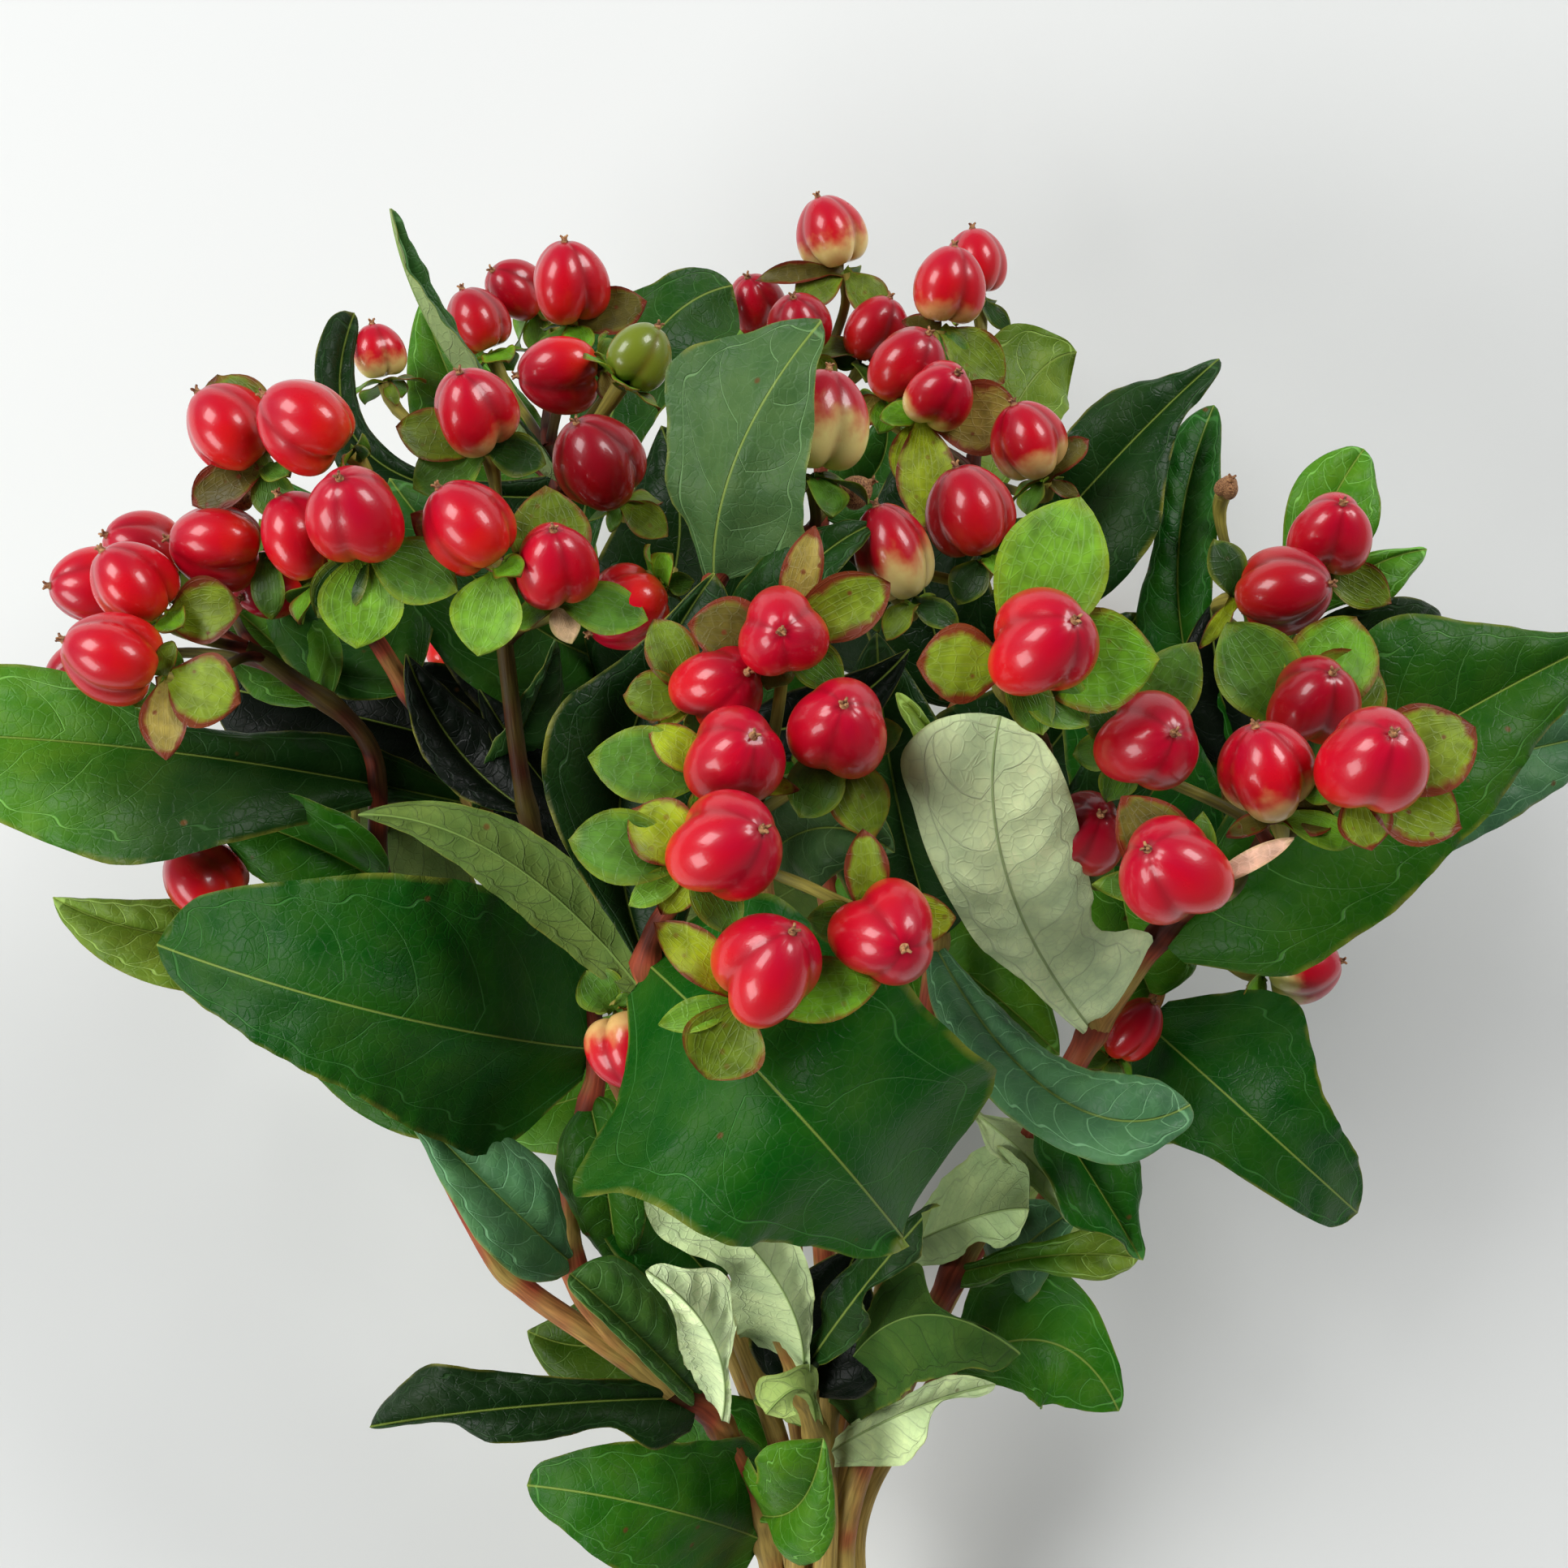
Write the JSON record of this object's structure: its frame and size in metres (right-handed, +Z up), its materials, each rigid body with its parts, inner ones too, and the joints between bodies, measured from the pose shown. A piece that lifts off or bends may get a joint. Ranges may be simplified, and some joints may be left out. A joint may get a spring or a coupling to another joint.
{
  "type": "hypericum berry bunch",
  "caption": "Bunch of cut hypericum stems with broad leaves and red berries over green sepals, held by a rubber band and laid on its side.",
  "frame": {"origin": "on the table under the middle of the bunch's box", "axes": "+Z up from the table, +Y from the cut ends of the stalks to the berries, +X to the right seen from above"},
  "size_m": [0.298, 0.4408, 0.177],
  "materials": {
    "leaf": "waxy green leaf, semi-gloss above and dull below",
    "berry": "ripe red berry skin, glossy",
    "sepal": "yellow-green sepal with red-brown rim, satin",
    "stalk": "smooth red-brown to olive bark",
    "band": "plain natural rubber"
  },
  "bodies": {
    "root": {"stem_leftFork": "leaf", "stem_leftUpper": "leaf", "stem_topLeft": "leaf", "stem_centre": "leaf", "stem_topCentre": "leaf", "stem_topRight": "leaf", "stem_frontCentre": "leaf", "stem_rightFork": "leaf", "stem_rightUpper": "leaf", "stem_underLeft": "leaf", "stem_underCentre": "leaf", "stem_underRight": "leaf", "rubber_band": "band"}
  },
  "joints": []
}
